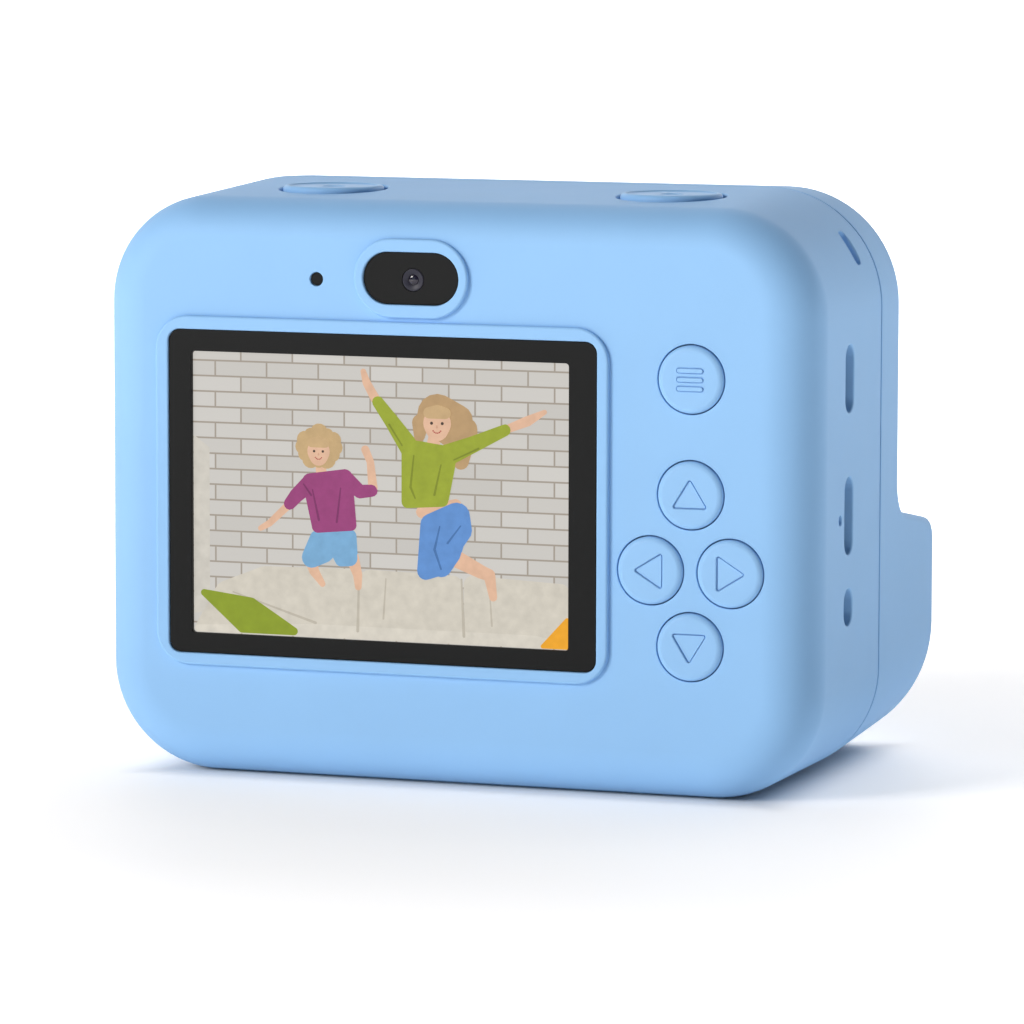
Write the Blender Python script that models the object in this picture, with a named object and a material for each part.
"""Kids digital camera with an instant printer: two shells, a screen with keys, a lens, and a paper bay with a door.

Lengths are in millimetres until a mesh becomes an object. The screen side faces -Y and the lens side faces +Y. The
design measures Y from a datum inside the casing; objects are placed so that the origin is the centre of the bottom.
"""

import math

import bmesh
import bpy

MM = 0.001

# Casing
BODY_WIDTH = 110.0
CORNER_STEPS = 7
WALL = 2.0
FACE_WALL = 2.4
FACE_Y = -31.0
FACE_RADIUS = 7.5
FACE_TOP_RADIUS = 5.5
FILLET_STEPS = 4
SEAM_Y = 3.8
SEAM_GAP = 0.3
BACK_Y = 13.9
STEP_Y = 33.7
TRIM_Y = -31.8
ORIGIN_Y = (TRIM_Y + STEP_Y) / 2

# Sections of the casing from front to back: Y, height, upper and lower corner radius
SECTIONS = (
    (FACE_Y + FACE_RADIUS, 85.4, 15.7, 16.2),
    (SEAM_Y, 86.7, 17.2, 16.0),
    (BACK_Y, 86.4, 17.0, 17.2),
    (STEP_Y, 86.4, 17.0, 19.4),
)

# Ledge on top of the paper bay: a slope between a hollow curve at the wall and a round outer edge
LEDGE_POINT = (24.0, 36.65)
LEDGE_SLOPE = math.radians(9.5)
HOLLOW_RADIUS = 5.0
EDGE_RADIUS = 3.5
LEDGE_STEPS = 3

# Screen
WINDOW_CENTRE = (-10.33, 42.22)
WINDOW_SIZE = (66.3, 47.7)
WINDOW_CORNER = 1.7
FRAME_SIZE = (70.2, 51.6)
VIEW_SIZE = (60.5, 43.6)
LCD_SIZE = (68.0, 49.5)

# Keys beside the screen
KEYS = {
    "mode": (36.86, 61.17),
    "up": (36.86, 44.57),
    "left": (30.87, 33.52),
    "right": (42.84, 33.52),
    "down": (36.86, 22.69),
}
KEY_RADIUS = 4.85
KEY_HOLE_RADIUS = 5.1
KEY_FLANGE_RADIUS = 5.8
KEY_BOARD_Y = -19.0

# Buttons on top
TOP_BUTTONS = {"left_top_button": -25.25, "right_top_button": 27.47}
TOP_BUTTON_Y = -11.53
TOP_BUTTON_RADIUS = 7.65
TOP_HOLE_RADIUS = 8.05
TOP_FLANGE_RADIUS = 9.2
TOP_BUTTON_Z = 86.5
TOP_BOARD_Z = 76.6

# Selfie window and microphone
SELFIE_CENTRE = (-5.6, 74.45)
SELFIE_RING = (17.6, 11.5)
SELFIE_PILL = (14.6, 7.5)
MICROPHONE_CENTRE = (-20.45, 73.95)

# Slots of the right side: name to (lowest Z, highest Z)
SLOT_Y = -12.6
SLOT_WIDTH = 4.2
SLOTS = {"usb": (55.4, 65.2), "card": (34.7, 46.0), "light": (24.3, 29.7)}
PINHOLE = (-16.9, 40.1)
STRAP_SLOT_ANGLE = math.radians(32.8)
STRAP_SLOT_LENGTH = 5.8
STRAP_SLOT_WIDTH = 2.6
STRAP_SLOT_Y = -3.6

# Electronics
BOARD_THICKNESS = 1.2
MAIN_BOARD_Y = -9.5
BATTERY_SIZE = (52.0, 34.0, 8.0)

# Lens side
LENS_CENTRE = (0.0, 62.5)
FLASH_CENTRE = (26.0, 71.0)
SPEAKER_CENTRE = (-32.0, 62.5)

# Paper bay
BAY_HALF_WIDTH = 34.5
DOOR_GAP = 0.3
DOOR_WALL = 1.8
DOOR_AXIS = (32.7, 6.0)
DOOR_TOP_Y = 24.4
SLOT_EDGE_Y = 22.0
PLATEN_AXIS = (25.3, 28.6)
PLATEN_RADIUS = 3.8
ROLL_AXIS = (14.0, 13.5)
ROLL_RADIUS = 9.5
PAPER_HALF_WIDTH = 28.5

# Gears: module, teeth, and the shafts they turn on
GEAR_MODULE = 0.5
PINION_TEETH = 12
WHEEL_TEETH = 24
PLATEN_TEETH = 15
MESH_SLACK = 0.1
MOTOR_ANGLE = math.radians(225.0)
SHAFT_CLEARANCE = 0.06

# Case screws
SCREW_PLACES = ((-46.9, 9.0), (46.9, 9.0), (-47.3, 77.9), (47.3, 77.9))
SCREW_HEAD_Y = 8.3
BOSS_Y = -8.0

TOWARD_SCREEN = (math.radians(90.0), 0.0, 0.0)
TOWARD_LENS = (math.radians(-90.0), 0.0, 0.0)
TOWARD_RIGHT = (0.0, math.radians(90.0), 0.0)
UPWARD = (0.0, 0.0, 0.0)

# Material name to colour, roughness and metallic
MATERIALS = {
    "blue_plastic": ((0.36, 0.62, 0.93, 1.0), 0.5, 0.0),
    "black_glass": ((0.02, 0.02, 0.02, 1.0), 0.12, 0.0),
    "clear_glass": ((0.75, 0.8, 0.85, 1.0), 0.05, 0.0),
    "screen": ((0.6, 0.6, 0.58, 1.0), 0.2, 0.0),
    "black_plastic": ((0.03, 0.03, 0.035, 1.0), 0.45, 0.0),
    "white_plastic": ((0.85, 0.85, 0.83, 1.0), 0.4, 0.0),
    "circuit_board": ((0.03, 0.25, 0.12, 1.0), 0.4, 0.0),
    "steel": ((0.6, 0.6, 0.62, 1.0), 0.3, 1.0),
    "battery_foil": ((0.65, 0.67, 0.7, 1.0), 0.35, 0.6),
    "rubber": ((0.05, 0.05, 0.05, 1.0), 0.8, 0.0),
    "paper": ((0.93, 0.93, 0.91, 1.0), 0.9, 0.0),
    "brass": ((0.75, 0.57, 0.25, 1.0), 0.3, 1.0),
}


# Shapes, each a bmesh in its own local frame

def lofted(rings, ringed=False):
    """A closed skin through equal rings of points: flat ends, or the last ring joined back to the first."""
    skin = bmesh.new()
    loops = [[skin.verts.new(point) for point in ring] for ring in rings]
    followers = loops[1:] + loops[:1] if ringed else loops[1:]
    for lower, upper in zip(loops, followers):
        for index in range(len(lower)):
            after = (index + 1) % len(lower)
            skin.faces.new((lower[index], lower[after], upper[after], upper[index]))
    if not ringed:
        skin.faces.new(loops[0])
        skin.faces.new(loops[-1])
    bmesh.ops.recalc_face_normals(skin, faces=skin.faces)
    return skin


def plate(outline, low, high):
    """An outline in local X and Y, solid from low to high along local Z."""
    return lofted([[(x, y, height) for x, y in outline] for height in (low, high)])


def turned(profile, sides=24, bored=False):
    """A solid turned about local Z through (radius, height) points; bored, the points go all round a ring."""
    rings = []
    for radius, height in profile:
        rings.append([(x, y, height) for x, y in circle(radius, sides)])
    return lofted(rings, ringed=bored)


def circle(radius, sides):
    angles = [2 * math.pi * index / sides for index in range(sides)]
    return [(radius * math.cos(angle), radius * math.sin(angle)) for angle in angles]


def rectangle(width, height, centre=(0.0, 0.0)):
    x, y = centre
    half, rise = width / 2, height / 2
    return [(x - half, y - rise), (x + half, y - rise), (x + half, y + rise), (x - half, y + rise)]


def rounded(width, height, radius, steps=4, centre=(0.0, 0.0)):
    """A rectangle with round corners; a radius of half its height makes a slot with round ends."""
    outline = []
    for turn, (side, rise) in enumerate(((1, 1), (-1, 1), (-1, -1), (1, -1))):
        corner = (centre[0] + side * (width / 2 - radius), centre[1] + rise * (height / 2 - radius))
        for step in range(steps + 1):
            angle = math.radians(90.0) * (turn + step / steps)
            outline.append((corner[0] + radius * math.cos(angle), corner[1] + radius * math.sin(angle)))
    return outline


def slot_outline(length, width, steps=6):
    """A slot with round ends, long along local Y."""
    outline = []
    for end in (1, -1):
        for step in range(steps + 1):
            angle = math.pi * step / steps + (0.0 if end == 1 else math.pi)
            reach = width / 2
            outline.append((reach * math.cos(angle), end * (length - width) / 2 + reach * math.sin(angle)))
    return outline


def gear_outline(teeth, turn=0.0):
    """Straight-flanked teeth, thinned a little so that a pair runs free; turn sets where the first tooth points."""
    pitch_radius = GEAR_MODULE * teeth / 2
    tip, root = pitch_radius + 0.42, pitch_radius - 0.55
    outline = []
    for tooth in range(teeth):
        for part, radius in ((-0.30, root), (-0.12, tip), (0.12, tip), (0.30, root)):
            angle = 2 * math.pi * (tooth + part) / teeth + turn
            outline.append((radius * math.cos(angle), radius * math.sin(angle)))
    return outline


def arc(centre, radius, start, end, steps):
    """Points on an arc in the Y-Z plane, from one angle in degrees to another."""
    points = []
    for step in range(steps + 1):
        angle = math.radians(start + (end - start) * step / steps)
        points.append((centre[0] + radius * math.cos(angle), centre[1] + radius * math.sin(angle)))
    return points


# Objects

def material(name):
    found = bpy.data.materials.get(name)
    if found:
        return found
    colour, roughness, metallic = MATERIALS[name]
    made = bpy.data.materials.new(name)
    made.use_nodes = True
    shader = made.node_tree.nodes["Principled BSDF"]
    shader.inputs["Base Color"].default_value = colour
    shader.inputs["Roughness"].default_value = roughness
    shader.inputs["Metallic"].default_value = metallic
    made.diffuse_color = colour
    return made


def solid(name, shape, finish, place=(0.0, 0.0, 0.0), turn=UPWARD, parent=None):
    """One object in metres from a bmesh in millimetres. place is in the parent's frame."""
    for corner in shape.verts:
        corner.co *= MM
    mesh = bpy.data.meshes.new(name)
    shape.to_mesh(mesh)
    shape.free()
    made = bpy.data.objects.new(name, mesh)
    bpy.context.scene.collection.objects.link(made)
    made.location = in_metres(place, parent)
    made.rotation_euler = turn
    made.parent = parent
    if finish:
        mesh.materials.append(material(finish))
        mesh.shade_smooth()
        mesh.set_sharp_from_angle(angle=math.radians(30.0))
    return made


def pivot(name, place, parent=None):
    """An empty on a joint's axis, which carries the pieces that move with it."""
    made = bpy.data.objects.new(name, None)
    made.empty_display_size = 5 * MM
    bpy.context.scene.collection.objects.link(made)
    made.location = in_metres(place, parent)
    made.parent = parent
    return made


def in_metres(place, parent):
    """A place from the datum in metres from the origin, or a place in the parent's frame as it is."""
    x, y, z = place
    datum = 0.0 if parent else ORIGIN_Y
    return x * MM, (y - datum) * MM, z * MM


def shape_with(target, operation, shape, place=(0.0, 0.0, 0.0), turn=UPWARD):
    """Cuts a helper shape from the target, or joins it on."""
    helper = solid(f"{target.name}_{operation.lower()}", shape, None, place, turn, target.parent)
    helper.hide_render = True
    helper.display_type = "WIRE"
    step = target.modifiers.new(helper.name, "BOOLEAN")
    step.operation = operation
    step.solver = "EXACT"
    step.object = helper


def cut(target, shape, place=(0.0, 0.0, 0.0), turn=UPWARD):
    shape_with(target, "DIFFERENCE", shape, place, turn)


def join(target, shape, place=(0.0, 0.0, 0.0), turn=UPWARD):
    shape_with(target, "UNION", shape, place, turn)


def profile_along_x(outline, half_length):
    """An outline of (Y, Z) points, solid from -half_length to half_length along X."""
    return lofted([[(x, y, z) for y, z in outline] for x in (-half_length, half_length)])


# Casing

def section_sizes(y):
    """Height, upper and lower corner radius of the casing at depth y."""
    for near, far in zip(SECTIONS, SECTIONS[1:]):
        if y <= far[0]:
            break
    share = min(max((y - near[0]) / (far[0] - near[0]), 0.0), 1.0)
    return [start + (end - start) * share for start, end in zip(near[1:], far[1:])]


def section(y, inset=0.0, top_inset=None, ceiling=None):
    """The casing's rounded outline at depth y, drawn in by inset; whatever is above the ceiling is pressed down."""
    height, upper, lower = section_sizes(y)
    top_inset = inset if top_inset is None else top_inset
    ring = []
    for turn, (side, up) in enumerate(((1, 1), (-1, 1), (-1, -1), (1, -1))):
        corner = upper if up > 0 else lower
        middle = height - corner if up > 0 else corner
        rise = corner - (top_inset if up > 0 else inset)
        for step in range(CORNER_STEPS + 1):
            angle = math.radians(90.0) * (turn + step / CORNER_STEPS)
            z = middle + rise * math.sin(angle)
            if ceiling is not None:
                z = min(z, ceiling)
            ring.append((side * (BODY_WIDTH / 2 - corner) + (corner - inset) * math.cos(angle), y, z))
    return ring


def face_rings(offset):
    """Rings round the soft edge of the screen side, offset inward; the edge is tighter along the top."""
    rings = []
    for step in range(FILLET_STEPS + 1):
        angle = math.radians(90.0) * step / FILLET_STEPS
        inset = offset + (FACE_RADIUS - offset) * (1 - math.sin(angle))
        top_inset = offset + (FACE_TOP_RADIUS - offset) * (1 - math.sin(angle))
        y = FACE_Y + offset + (FACE_RADIUS - offset) * (1 - math.cos(angle))
        rings.append(section(y, inset, top_inset))
    return rings


def ledge_profile(offset):
    """(Y, Z) points of the ledge from the wall to the outer face of the step, offset inward."""
    slope_y, slope_z = math.sin(LEDGE_SLOPE), math.cos(LEDGE_SLOPE)
    hollow_y = BACK_Y + HOLLOW_RADIUS
    hollow_z = LEDGE_POINT[1] + (HOLLOW_RADIUS - (hollow_y - LEDGE_POINT[0]) * slope_y) / slope_z
    edge_y = STEP_Y - EDGE_RADIUS
    edge_z = LEDGE_POINT[1] - (EDGE_RADIUS + (edge_y - LEDGE_POINT[0]) * slope_y) / slope_z
    fall = 90.0 - math.degrees(LEDGE_SLOPE)
    hollow = arc((hollow_y, hollow_z), HOLLOW_RADIUS + offset, 184.0, 180.0 + fall, LEDGE_STEPS)
    edge = arc((edge_y, edge_z), EDGE_RADIUS - offset, fall, 0.0, LEDGE_STEPS)
    return hollow + edge


def make_rear_shell():
    rim = SEAM_Y - SEAM_GAP / 2
    shell = solid("rear_shell", lofted(face_rings(0.0) + [section(rim)]), "blue_plastic")
    add_face_trims(shell)
    cut(shell, lofted(face_rings(FACE_WALL) + [section(rim + 1.0, WALL)]))
    cut_window(shell)
    cut_selfie_window(shell)
    for x, z in KEYS.values():
        well = turned(((KEY_HOLE_RADIUS, -6.0), (KEY_HOLE_RADIUS, 6.0)), 24)
        cut(shell, well, (x, FACE_Y, z), TOWARD_SCREEN)
    x, z = MICROPHONE_CENTRE
    cut(shell, turned(((1.02, -6.0), (1.02, 6.0)), 12), (x, FACE_Y, z), TOWARD_SCREEN)
    for x in TOP_BUTTONS.values():
        well = turned(((TOP_HOLE_RADIUS, -6.0), (TOP_HOLE_RADIUS, 6.0)), 28)
        cut(shell, well, (x, TOP_BUTTON_Y, TOP_BUTTON_Z))
    cut_side_slots(shell)
    add_screw_bosses(shell)
    add_board_posts(shell)


def add_face_trims(shell):
    """The raised frame round the screen and the raised ring round the selfie window."""
    rise = FACE_Y - TRIM_Y
    x, z = WINDOW_CENTRE
    join(shell, plate(rounded(*FRAME_SIZE, 5.0), -1.0, rise), (x - 0.15, FACE_Y, z + 0.1), TOWARD_SCREEN)
    x, z = SELFIE_CENTRE
    length, width = SELFIE_RING
    join(shell, plate(rounded(length, width, width / 2 - 0.01, 6), -1.0, rise), (x, FACE_Y, z), TOWARD_SCREEN)


def cut_window(shell):
    x, z = WINDOW_CENTRE
    width, height = WINDOW_SIZE
    seat = rounded(width + 0.6, height + 0.6, WINDOW_CORNER + 0.3, 3)
    cut(shell, plate(seat, -1.2, 3.0), (x, FACE_Y, z), TOWARD_SCREEN)
    cut(shell, plate(rectangle(*VIEW_SIZE), -5.0, 0.0), (x - 0.35, FACE_Y, z - 0.1), TOWARD_SCREEN)


def cut_selfie_window(shell):
    x, z = SELFIE_CENTRE
    length, width = SELFIE_PILL
    outline = rounded(length + 0.6, width + 0.6, width / 2 + 0.29, 6)
    cut(shell, plate(outline, -1.2, 3.0), (x, FACE_Y, z), TOWARD_SCREEN)
    cut(shell, turned(((2.6, -5.0), (2.6, 0.0)), 16), (x, FACE_Y, z), TOWARD_SCREEN)


def cut_side_slots(shell):
    side = BODY_WIDTH / 2
    for low, high in SLOTS.values():
        outline = [(-z, y) for y, z in slot_outline(high - low, SLOT_WIDTH)]
        cut(shell, plate(outline, -4.0, 4.0), (side, SLOT_Y, (low + high) / 2), TOWARD_RIGHT)
    cut(shell, turned(((0.75, -4.0), (0.75, 4.0)), 10), (side, *PINHOLE), TOWARD_RIGHT)
    height, corner, _ = section_sizes(STRAP_SLOT_Y)
    x = side - corner + corner * math.cos(STRAP_SLOT_ANGLE)
    z = height - corner + corner * math.sin(STRAP_SLOT_ANGLE)
    tilted = (0.0, math.radians(90.0) - STRAP_SLOT_ANGLE, 0.0)
    outline = [(-up, along) for along, up in slot_outline(STRAP_SLOT_LENGTH, STRAP_SLOT_WIDTH)]
    cut(shell, plate(outline, -2.4, 4.0), (x, STRAP_SLOT_Y, z), tilted)


def add_screw_bosses(shell):
    """Tubes that the case screws cut into, each grown out of a corner."""
    length = SEAM_Y - SEAM_GAP / 2 - BOSS_Y
    for x, z in SCREW_PLACES:
        join(shell, turned(((3.9, 0.0), (3.9, length)), 16), (x, BOSS_Y, z), TOWARD_LENS)
        cut(shell, turned(((1.2, 2.0), (1.2, length + 1.0)), 12), (x, BOSS_Y, z), TOWARD_LENS)


def add_board_posts(shell):
    """Posts under the key board and the main board."""
    root = FACE_Y + FACE_WALL - 0.8
    key_board = KEY_BOARD_Y - BOARD_THICKNESS - 0.3
    main_board = MAIN_BOARD_Y - BOARD_THICKNESS - 0.3
    posts = [(28.6, 48.0, key_board), (45.2, 52.0, key_board), (45.2, 24.0, key_board), (28.6, 24.5, key_board)]
    posts += [(-48.5, 22.0, main_board), (-48.5, 62.0, main_board)]
    posts += [(49.6, 50.3, main_board), (49.0, 18.5, main_board)]
    for x, z, end in posts:
        join(shell, turned(((1.5, 0.0), (1.5, end - root)), 8), (x, root, z), TOWARD_LENS)


def make_front_shell():
    rim = SEAM_Y + SEAM_GAP / 2
    outer = [section(rim), section(BACK_Y)]
    outer += [section(y, ceiling=z) for y, z in ledge_profile(0.0)]
    shell = solid("front_shell", lofted(outer), "blue_plastic")
    inner = [section(rim - 1.0, WALL), section(BACK_Y - WALL, WALL)]
    inner += [section(y, WALL, ceiling=z) for y, z in ledge_profile(WALL)]
    cut(shell, lofted(inner))
    cut_lens_openings(shell)
    cut_paper_opening(shell)
    add_screw_tubes(shell)


def cut_lens_openings(shell):
    x, z = LENS_CENTRE
    cut(shell, turned(((11.0, -4.0), (11.0, 4.0)), 32), (x, BACK_Y, z), TOWARD_LENS)
    x, z = FLASH_CENTRE
    cut(shell, turned(((3.7, -4.0), (3.7, 4.0)), 20), (x, BACK_Y, z), TOWARD_LENS)
    x, z = SPEAKER_CENTRE
    holes = [(0.0, 0.0)] + circle(3.4, 6)
    for right, up in holes:
        cut(shell, turned(((0.7, -4.0), (0.7, 4.0)), 8), (x + right, BACK_Y, z + up), TOWARD_LENS)


def cut_paper_opening(shell):
    """The door's opening and the paper's way out, with lugs for the hinge pins at its lower corners."""
    y, z = DOOR_AXIS
    for side in (-1, 1):
        lug = rectangle(4.0, 3.6, (side * (BAY_HALF_WIDTH + 2.3), y - 1.8))
        join(shell, plate(lug, 1.0, z + 3.0))
    sill = z - 1.3
    inside, outside = y - 2.3, STEP_Y + 2.0
    outline = [(SLOT_EDGE_Y, 27.0), (inside, 27.0), (inside, sill)]
    outline += [(outside, sill), (outside, 44.0), (SLOT_EDGE_Y, 44.0)]
    cut(shell, profile_along_x(outline, BAY_HALF_WIDTH))
    for side in (-1, 1):
        x = side * (BAY_HALF_WIDTH + 1.4)
        cut(shell, turned(((0.66, -2.2), (0.66, 2.2)), 12), (x, y, z), TOWARD_RIGHT)


def add_screw_tubes(shell):
    """Counterbores that take the screws' heads, open to the lens side."""
    rim = SEAM_Y + SEAM_GAP / 2
    seat = SCREW_HEAD_Y - 0.3
    for x, z in SCREW_PLACES:
        back = STEP_Y if z < LEDGE_POINT[1] else BACK_Y
        join(shell, turned(((3.2, rim), (3.2, back - 1.0)), 16), (x, 0.0, z), TOWARD_LENS)
        cut(shell, turned(((2.6, seat), (2.6, back + 1.0)), 16), (x, 0.0, z), TOWARD_LENS)
        cut(shell, turned(((1.35, rim - 1.0), (1.35, seat + 0.5)), 12), (x, 0.0, z), TOWARD_LENS)


def make_case_screws():
    """Pan-head screws with a square socket, each under a counterbore of the front shell."""
    for number, (x, z) in enumerate(SCREW_PLACES, 1):
        profile = ((1.05, -3.5), (1.05, SCREW_HEAD_Y), (2.25, SCREW_HEAD_Y), (2.25, 9.4), (1.7, 9.9))
        screw = solid(f"case_screw_{number}", turned(profile, 12), "steel", (x, 0.0, z), TOWARD_LENS)
        cut(screw, plate(rectangle(1.4, 1.4), 9.2, 11.0), (x, 0.0, z), TOWARD_LENS)


# Screen side

def make_screen():
    x, z = WINDOW_CENTRE
    window = plate(rounded(*WINDOW_SIZE, WINDOW_CORNER, 3), 0.0, 1.4)
    solid("screen_window", window, "black_glass", (x, FACE_Y + 0.9, z), TOWARD_SCREEN)
    panel = plate(rectangle(*LCD_SIZE), 0.0, 2.4)
    solid("lcd_panel", panel, "screen", (x, -25.9, z), TOWARD_SCREEN)


def make_selfie_camera():
    x, z = SELFIE_CENTRE
    length, width = SELFIE_PILL
    pill = plate(rounded(length, width, width / 2 - 0.01, 6), 0.0, 1.3)
    solid("selfie_window", pill, "black_glass", (x, FACE_Y + 0.9, z), TOWARD_SCREEN)
    block = plate(rectangle(8.5, 8.5), -5.0, 0.0)
    camera = solid("selfie_camera", block, "black_plastic", (x, -28.3, z), TOWARD_SCREEN)
    join(camera, turned(((2.1, -1.0), (2.1, 1.4)), 16), (x, -28.3, z), TOWARD_SCREEN)
    x, z = MICROPHONE_CENTRE
    solid("microphone", turned(((2.0, 0.0), (2.0, 2.0)), 16), "steel", (x, -26.3, z), TOWARD_SCREEN)


def make_keys():
    """Round keys: a cap in its well, a flange behind the wall and a stem that reaches into its switch."""
    profile = ((0.75, -7.3), (0.75, -4.2), (KEY_FLANGE_RADIUS, -4.2), (KEY_FLANGE_RADIUS, -2.9),
               (KEY_RADIUS, -2.9), (KEY_RADIUS, 0.3), (KEY_RADIUS - 0.4, 0.7))
    switch_y = KEY_BOARD_Y - BOARD_THICKNESS - 3.8
    for number, (name, (x, z)) in enumerate(KEYS.items(), 1):
        solid(f"{name}_button", turned(profile, 20), "blue_plastic", (x, FACE_Y, z), TOWARD_SCREEN)
        block = plate(rectangle(6.0, 6.0), -3.4, 0.0)
        switch = solid(f"key_switch_{number}", block, "black_plastic", (x, switch_y, z), TOWARD_SCREEN)
        cut(switch, turned(((1.2, -1.3), (1.2, 1.0)), 10), (x, switch_y, z), TOWARD_SCREEN)
    board = plate(rectangle(20.0, 54.0), 0.0, BOARD_THICKNESS)
    solid("key_board", board, "circuit_board", (36.9, KEY_BOARD_Y, 42.0), TOWARD_SCREEN)


def make_top_buttons():
    """Round caps in the top, each with a flange below the wall and a stem into its switch."""
    profile = ((1.5, -6.5), (1.5, -4.7), (TOP_FLANGE_RADIUS, -4.7), (TOP_FLANGE_RADIUS, -3.7),
               (TOP_BUTTON_RADIUS, -3.7), (TOP_BUTTON_RADIUS, -0.5), (TOP_BUTTON_RADIUS - 0.6, 0.0))
    for number, (name, x) in enumerate(TOP_BUTTONS.items(), 1):
        solid(name, turned(profile, 28), "blue_plastic", (x, TOP_BUTTON_Y, TOP_BUTTON_Z))
        place = (x, TOP_BUTTON_Y, TOP_BOARD_Z + 0.3)
        switch = solid(f"top_switch_{number}", plate(rectangle(6.0, 6.0), 0.0, 3.5), "black_plastic", place)
        cut(switch, turned(((1.8, 1.9), (1.8, 4.0)), 10), place)
    outline = rectangle(66.0, 11.0, (1.0, TOP_BUTTON_Y))
    solid("top_board", plate(outline, TOP_BOARD_Z - BOARD_THICKNESS, TOP_BOARD_Z), "circuit_board")


# Electronics

def make_electronics():
    outline = rounded(102.0, 57.0, 4.0, 2, (0.0, 41.5))
    board = plate(outline, 0.0, BOARD_THICKNESS)
    solid("main_board", board, "circuit_board", (0.0, MAIN_BOARD_Y, 0.0), TOWARD_SCREEN)
    width, height, depth = BATTERY_SIZE
    battery = plate(rounded(width, height, 2.0, 2), 0.0, depth)
    solid("battery", battery, "battery_foil", (-14.0, -15.5, 42.0), TOWARD_SCREEN)
    make_ports()


def make_ports():
    """Sockets, the light and the reset switch behind the openings of the right side."""
    port_y = SLOT_Y + 1.6
    for name, slot, long, deep in (("usb_port", "usb", 9.0, 7.4), ("card_socket", "card", 11.6, 13.0)):
        low, high = SLOTS[slot]
        block = plate(rectangle(deep, long), 0.0, 3.2)
        place = (52.7 - deep / 2, port_y, (low + high) / 2)
        port = solid(name, block, "steel", place, TOWARD_SCREEN)
        mouth = plate(rectangle(6.0, long - 1.2), 0.5, 2.7)
        cut(port, mouth, (52.7 - 1.0, port_y, (low + high) / 2), TOWARD_SCREEN)
    low, high = SLOTS["light"]
    light = plate(rectangle(2.6, 3.0), 0.0, 2.4)
    solid("status_light", light, "white_plastic", (51.0, port_y, (low + high) / 2), TOWARD_SCREEN)
    y, z = PINHOLE
    reset = plate(rectangle(3.0, 3.4), 0.0, 3.0)
    solid("reset_switch", reset, "black_plastic", (51.0, y + 1.5, z), TOWARD_SCREEN)


def make_lens():
    x, z = LENS_CENTRE
    place = (x, BACK_Y, z)
    trim = ((9.2, -3.0), (10.7, -3.0), (10.7, 0.3), (15.0, 0.3), (15.0, 3.6), (13.6, 5.6), (10.9, 5.6), (9.2, 2.6))
    solid("lens_ring", turned(trim, 40, bored=True), "white_plastic", place, TOWARD_LENS)
    solid("lens_glass", turned(((10.0, 4.4), (10.0, 5.2)), 32), "clear_glass", place, TOWARD_LENS)
    barrel = ((3.4, -7.6), (5.6, -7.6), (5.6, -1.0), (7.0, 1.4), (7.0, 2.2), (4.4, 0.4), (3.4, -1.6))
    solid("lens_barrel", turned(barrel, 24, bored=True), "black_plastic", place, TOWARD_LENS)
    solid("lens_element", turned(((3.1, -5.0), (3.1, -3.4), (2.2, -2.6)), 20), "clear_glass", place, TOWARD_LENS)
    module = plate(rectangle(15.0, 15.0), -13.0, -8.0)
    solid("camera_module", module, "black_plastic", place, TOWARD_LENS)


def make_flash_and_speaker():
    x, z = FLASH_CENTRE
    window = ((4.6, -3.4), (4.6, -2.3), (3.4, -2.3), (3.4, 0.4))
    solid("flash_window", turned(window, 20), "clear_glass", (x, BACK_Y, z), TOWARD_LENS)
    solid("flash_led", plate(rectangle(5.0, 5.0), -6.2, -4.0), "white_plastic", (x, BACK_Y, z), TOWARD_LENS)
    x, z = SPEAKER_CENTRE
    cone = ((9.0, -6.8), (9.0, -2.4), (7.6, -2.4), (5.6, -3.6))
    solid("speaker", turned(cone, 24), "black_plastic", (x, BACK_Y, z), TOWARD_LENS)


# Printer

def make_printer_frame():
    """Two side plates, a tray that the roll lies in and a beam behind the print head."""
    inner_radius = ROLL_RADIUS + 0.5
    y, z = ROLL_AXIS
    tray = arc((y, z), inner_radius, 185.0, 325.0, 8) + arc((y, z), inner_radius + 1.0, 325.0, 185.0, 8)
    frame = solid("printer_frame", profile_along_x(tray, 30.0), "black_plastic")
    side_outline = [(3.4, 3.0), (22.6, 3.0), (22.6, 7.0), (19.6, 24.0), (19.6, 33.0), (9.0, 33.0), (3.4, 24.0)]
    for side in (-1, 1):
        join(frame, side_plate(side_outline, side * 29.0, side * 30.3))
    beam = rectangle(7.0, 4.0, (13.0, 30.5))
    join(frame, profile_along_x(beam, 29.5))
    cut(frame, turned(((1.06, -3.0), (1.06, 3.0)), 16), (29.5, *gear_axle_place()), TOWARD_RIGHT)


def side_plate(outline, near, far):
    """A plate across X from a (Y, Z) outline."""
    return lofted([[(x, y, z) for y, z in outline] for x in (near, far)])


def gear_axle_place():
    """(Y, Z) of the reduction gear's axle, straight behind the platen."""
    distance = GEAR_MODULE * (PLATEN_TEETH + PINION_TEETH) / 2 + MESH_SLACK
    return PLATEN_AXIS[0] - distance, PLATEN_AXIS[1]


def motor_place():
    """(Y, Z) of the motor's shaft, below and behind the reduction gear."""
    distance = GEAR_MODULE * (WHEEL_TEETH + PINION_TEETH) / 2 + MESH_SLACK
    y, z = gear_axle_place()
    return y + distance * math.cos(MOTOR_ANGLE), z + distance * math.sin(MOTOR_ANGLE)


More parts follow.
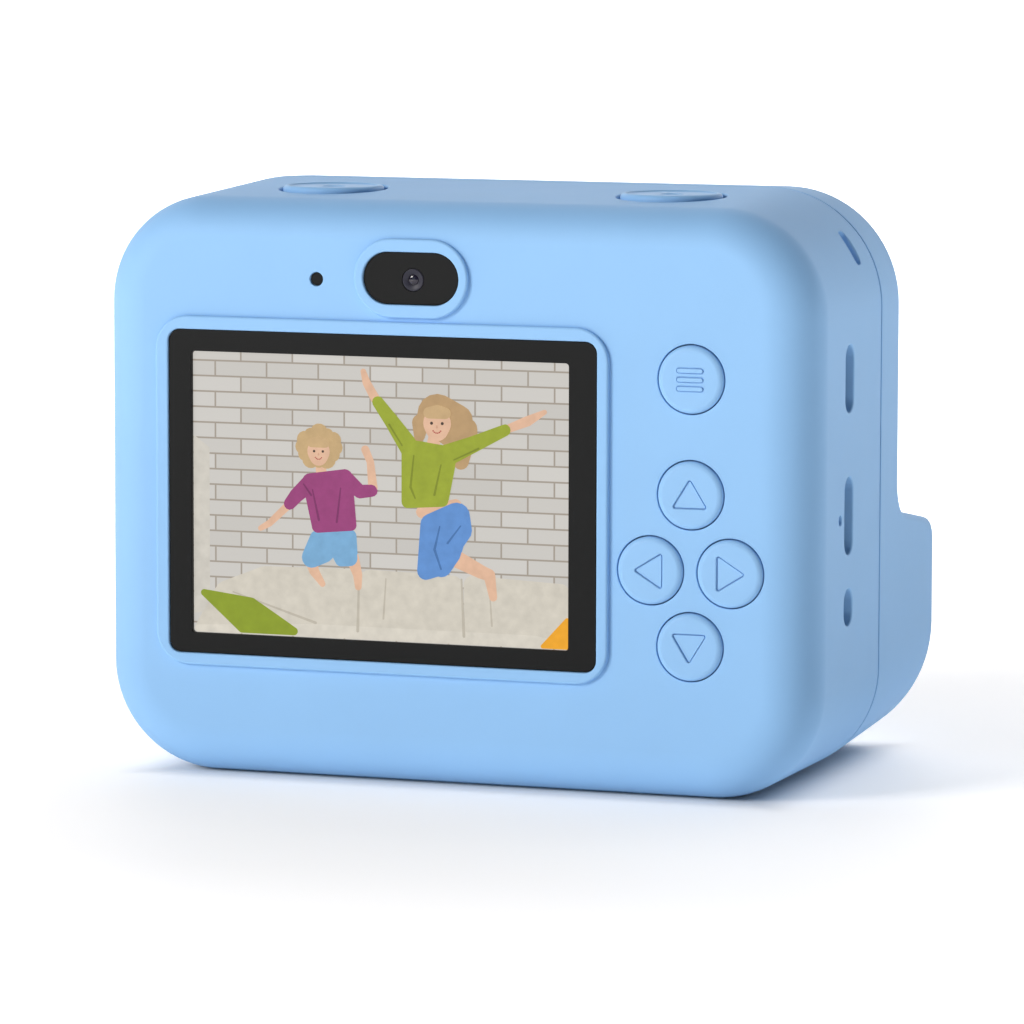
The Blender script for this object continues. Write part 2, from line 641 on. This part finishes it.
def make_gears(motor_pivot, gear_pivot, platen_pivot):
    """Motor pinion, two-step reduction gear and platen gear, in mesh, each drawn facing right on its axis."""
    small = gear_outline(PINION_TEETH, 0.0)
    wheel = gear_outline(WHEEL_TEETH, MOTOR_ANGLE + math.pi / WHEEL_TEETH)
    bore = 1.0 + SHAFT_CLEARANCE
    gear = solid("reduction_gear", gear_body(small, bore, 31.6, 33.75), "white_plastic", parent=gear_pivot)
    join(gear, gear_body(wheel, bore, 33.6, 35.2))
    platen = gear_outline(PLATEN_TEETH, math.pi + math.pi / PLATEN_TEETH)
    solid("platen_gear", gear_body(platen, 1.8, 31.8, 33.3), "white_plastic", parent=platen_pivot)
    pinion = side_plate(gear_outline(PINION_TEETH, MOTOR_ANGLE + math.pi), 33.9, 35.5)
    made = solid("motor_pinion", pinion, "brass", parent=motor_pivot)
    join(made, side_plate(circle(0.75, 12), 34.5, 38.2))


def gear_body(outline, bore, low, high):
    """A gear between two places along X, with a round bore."""
    hole = [(bore * y / math.hypot(y, z), bore * z / math.hypot(y, z)) for y, z in outline]
    rings = ((outline, low), (outline, high), (hole, high), (hole, low))
    return lofted([[(x, y, z) for y, z in ring] for ring, x in rings], ringed=True)


def make_drive(motor_pivot, gear_pivot, platen_pivot):
    make_gears(motor_pivot, gear_pivot, platen_pivot)
    y, z = gear_axle_place()
    axle = turned(((1.0, -1.5), (1.0, 6.6)), 16)
    solid("gear_axle", axle, "steel", (29.9, y, z), TOWARD_RIGHT)
    y, z = motor_place()
    motor = solid("stepper_motor", turned(((7.5, 0.0), (7.5, 11.0)), 24), "steel", (36.4, y, z), TOWARD_RIGHT)
    cut(motor, turned(((0.82, -1.0), (0.82, 2.4)), 12), (36.4, y, z), TOWARD_RIGHT)


def make_print_head():
    """Heater plate against the platen, pressed by a bent leaf spring from the frame's beam."""
    head = profile_along_x(rectangle(1.2, 8.4, (20.5, 28.8)), 28.0)
    solid("print_head", head, "steel")
    leaf, gap, reach = 0.4, 0.3, 18.0
    near, far = 16.5 + gap, 19.9 - gap
    outline = [(-reach, near), (-reach / 3, near), (0.0, far - leaf), (reach / 3, near), (reach, near)]
    outline += [(x, y + leaf) for x, y in reversed(outline)]
    solid("head_spring", plate(outline, 29.0, 32.0), "steel")
    make_tear_bar()


def make_tear_bar():
    """A toothed blade that the paper is torn against, just inside the paper's way out."""
    teeth = 28
    back, root, tip = 18.4, 21.9, 22.7
    pitch = 2 * PAPER_HALF_WIDTH / teeth
    blade = [(-PAPER_HALF_WIDTH, back)]
    for tooth in range(teeth):
        x = -PAPER_HALF_WIDTH + tooth * pitch
        blade += [(x, root), (x + pitch / 2, tip)]
    blade += [(PAPER_HALF_WIDTH, root), (PAPER_HALF_WIDTH, back)]
    solid("tear_bar", plate(blade, 33.6, 34.1), "steel")


def make_platen(platen_pivot):
    """Rubber roller on its shaft, with the origin on the shaft's axis."""
    roller = turned(((1.8, -28.8), (PLATEN_RADIUS, -28.8), (PLATEN_RADIUS, 28.8), (1.8, 28.8)), 24, bored=True)
    solid("platen_roller", roller, "rubber", turn=TOWARD_RIGHT, parent=platen_pivot)
    solid("platen_shaft", turned(((1.5, -31.6), (1.5, 33.5)), 16), "steel", turn=TOWARD_RIGHT, parent=platen_pivot)


def make_paper_door(door_pivot):
    """The step's outer face and edge, with two arms for the platen and sockets for the hinge pins."""
    axis_y, axis_z = DOOR_AXIS
    ledge_out = [point for point in ledge_profile(0.0) if point[0] > DOOR_TOP_Y]
    ledge_in = [point for point in ledge_profile(DOOR_WALL) if point[0] > DOOR_TOP_Y]
    top_out = (DOOR_TOP_Y, ledge_height(DOOR_TOP_Y))
    top_in = (DOOR_TOP_Y, ledge_height(DOOR_TOP_Y) - DOOR_WALL / math.cos(LEDGE_SLOPE))
    foot = arc((axis_y, axis_z), 1.0, 180.0, 360.0, 5)
    outline = [top_out] + ledge_out + list(reversed(foot)) + [(STEP_Y - DOOR_WALL, axis_z + 4.0)]
    outline += list(reversed(ledge_in)) + [top_in]
    local = [(y - axis_y, z - axis_z) for y, z in outline]
    door = solid("paper_door", profile_along_x(local, BAY_HALF_WIDTH - DOOR_GAP), "blue_plastic", parent=door_pivot)
    add_platen_arms(door)
    for side in (-1, 1):
        x = side * (BAY_HALF_WIDTH - 2.0)
        cut(door, turned(((0.7, -2.2), (0.7, 3.0)), 12), (x, 0.0, 0.0), (0.0, side * math.radians(90.0), 0.0))


def ledge_height(y):
    return LEDGE_POINT[1] - (y - LEDGE_POINT[0]) * math.tan(LEDGE_SLOPE)


def add_platen_arms(door):
    """A cheek at each end of the platen, bored for its bush."""
    axis_y, axis_z = DOOR_AXIS
    platen_y, platen_z = PLATEN_AXIS[0] - axis_y, PLATEN_AXIS[1] - axis_z
    root_y = STEP_Y - DOOR_WALL + 0.5 - axis_y
    arm = [(root_y, platen_z - 6.0)] + arc((platen_y, platen_z), 3.2, 250.0, 110.0, 6) + [(root_y, platen_z + 2.6)]
    for side in (-1, 1):
        join(door, side_plate(arm, side * 29.6, side * 31.3))
        bore = turned(((2.45, -2.0), (2.45, 2.0)), 16)
        cut(door, bore, (side * 30.45, platen_y, platen_z), TOWARD_RIGHT)


def make_bushes(door_pivot):
    y, z = PLATEN_AXIS[0] - DOOR_AXIS[0], PLATEN_AXIS[1] - DOOR_AXIS[1]
    ring = ((1.5 + SHAFT_CLEARANCE, -0.85), (2.15, -0.85), (2.15, 0.85), (1.5 + SHAFT_CLEARANCE, 0.85))
    for number, x in enumerate((-30.45, 30.45), 1):
        bush = turned(ring, 16, bored=True)
        solid(f"platen_bush_{number}", bush, "brass", (x, y, z), TOWARD_RIGHT, door_pivot)


def make_hinge_pins():
    y, z = DOOR_AXIS
    for number, side in enumerate((-1, 1), 1):
        x = side * (BAY_HALF_WIDTH - 0.5)
        pin = turned(((0.6, -2.4), (0.6, 3.4)), 12)
        solid(f"hinge_pin_{number}", pin, "steel", (x, y, z), (0.0, side * math.radians(90.0), 0.0))


def make_paper_roll(roll_pivot):
    half = PAPER_HALF_WIDTH
    paper = turned(((5.8, -half), (ROLL_RADIUS, -half), (ROLL_RADIUS, half), (5.8, half)), 32, bored=True)
    solid("paper_roll", paper, "paper", turn=TOWARD_RIGHT, parent=roll_pivot)
    core = turned(((4.3, -half), (5.5, -half), (5.5, half), (4.3, half)), 24, bored=True)
    solid("roll_core", core, "white_plastic", turn=TOWARD_RIGHT, parent=roll_pivot)


def main():
    for old in list(bpy.data.objects):
        bpy.data.objects.remove(old)
    make_rear_shell()
    make_front_shell()
    make_case_screws()
    make_screen()
    make_selfie_camera()
    make_keys()
    make_top_buttons()
    make_electronics()
    make_lens()
    make_flash_and_speaker()
    make_printer_frame()
    make_print_head()
    door_pivot = pivot("door_pivot", (0.0, *DOOR_AXIS))
    platen_place = (0.0, PLATEN_AXIS[0] - DOOR_AXIS[0], PLATEN_AXIS[1] - DOOR_AXIS[1])
    platen_pivot = pivot("platen_pivot", platen_place, door_pivot)
    gear_pivot = pivot("gear_pivot", (0.0, *gear_axle_place()))
    motor_pivot = pivot("motor_pivot", (0.0, *motor_place()))
    roll_pivot = pivot("roll_pivot", (0.0, *ROLL_AXIS))
    make_drive(motor_pivot, gear_pivot, platen_pivot)
    make_platen(platen_pivot)
    make_paper_door(door_pivot)
    make_bushes(door_pivot)
    make_hinge_pins()
    make_paper_roll(roll_pivot)


main()
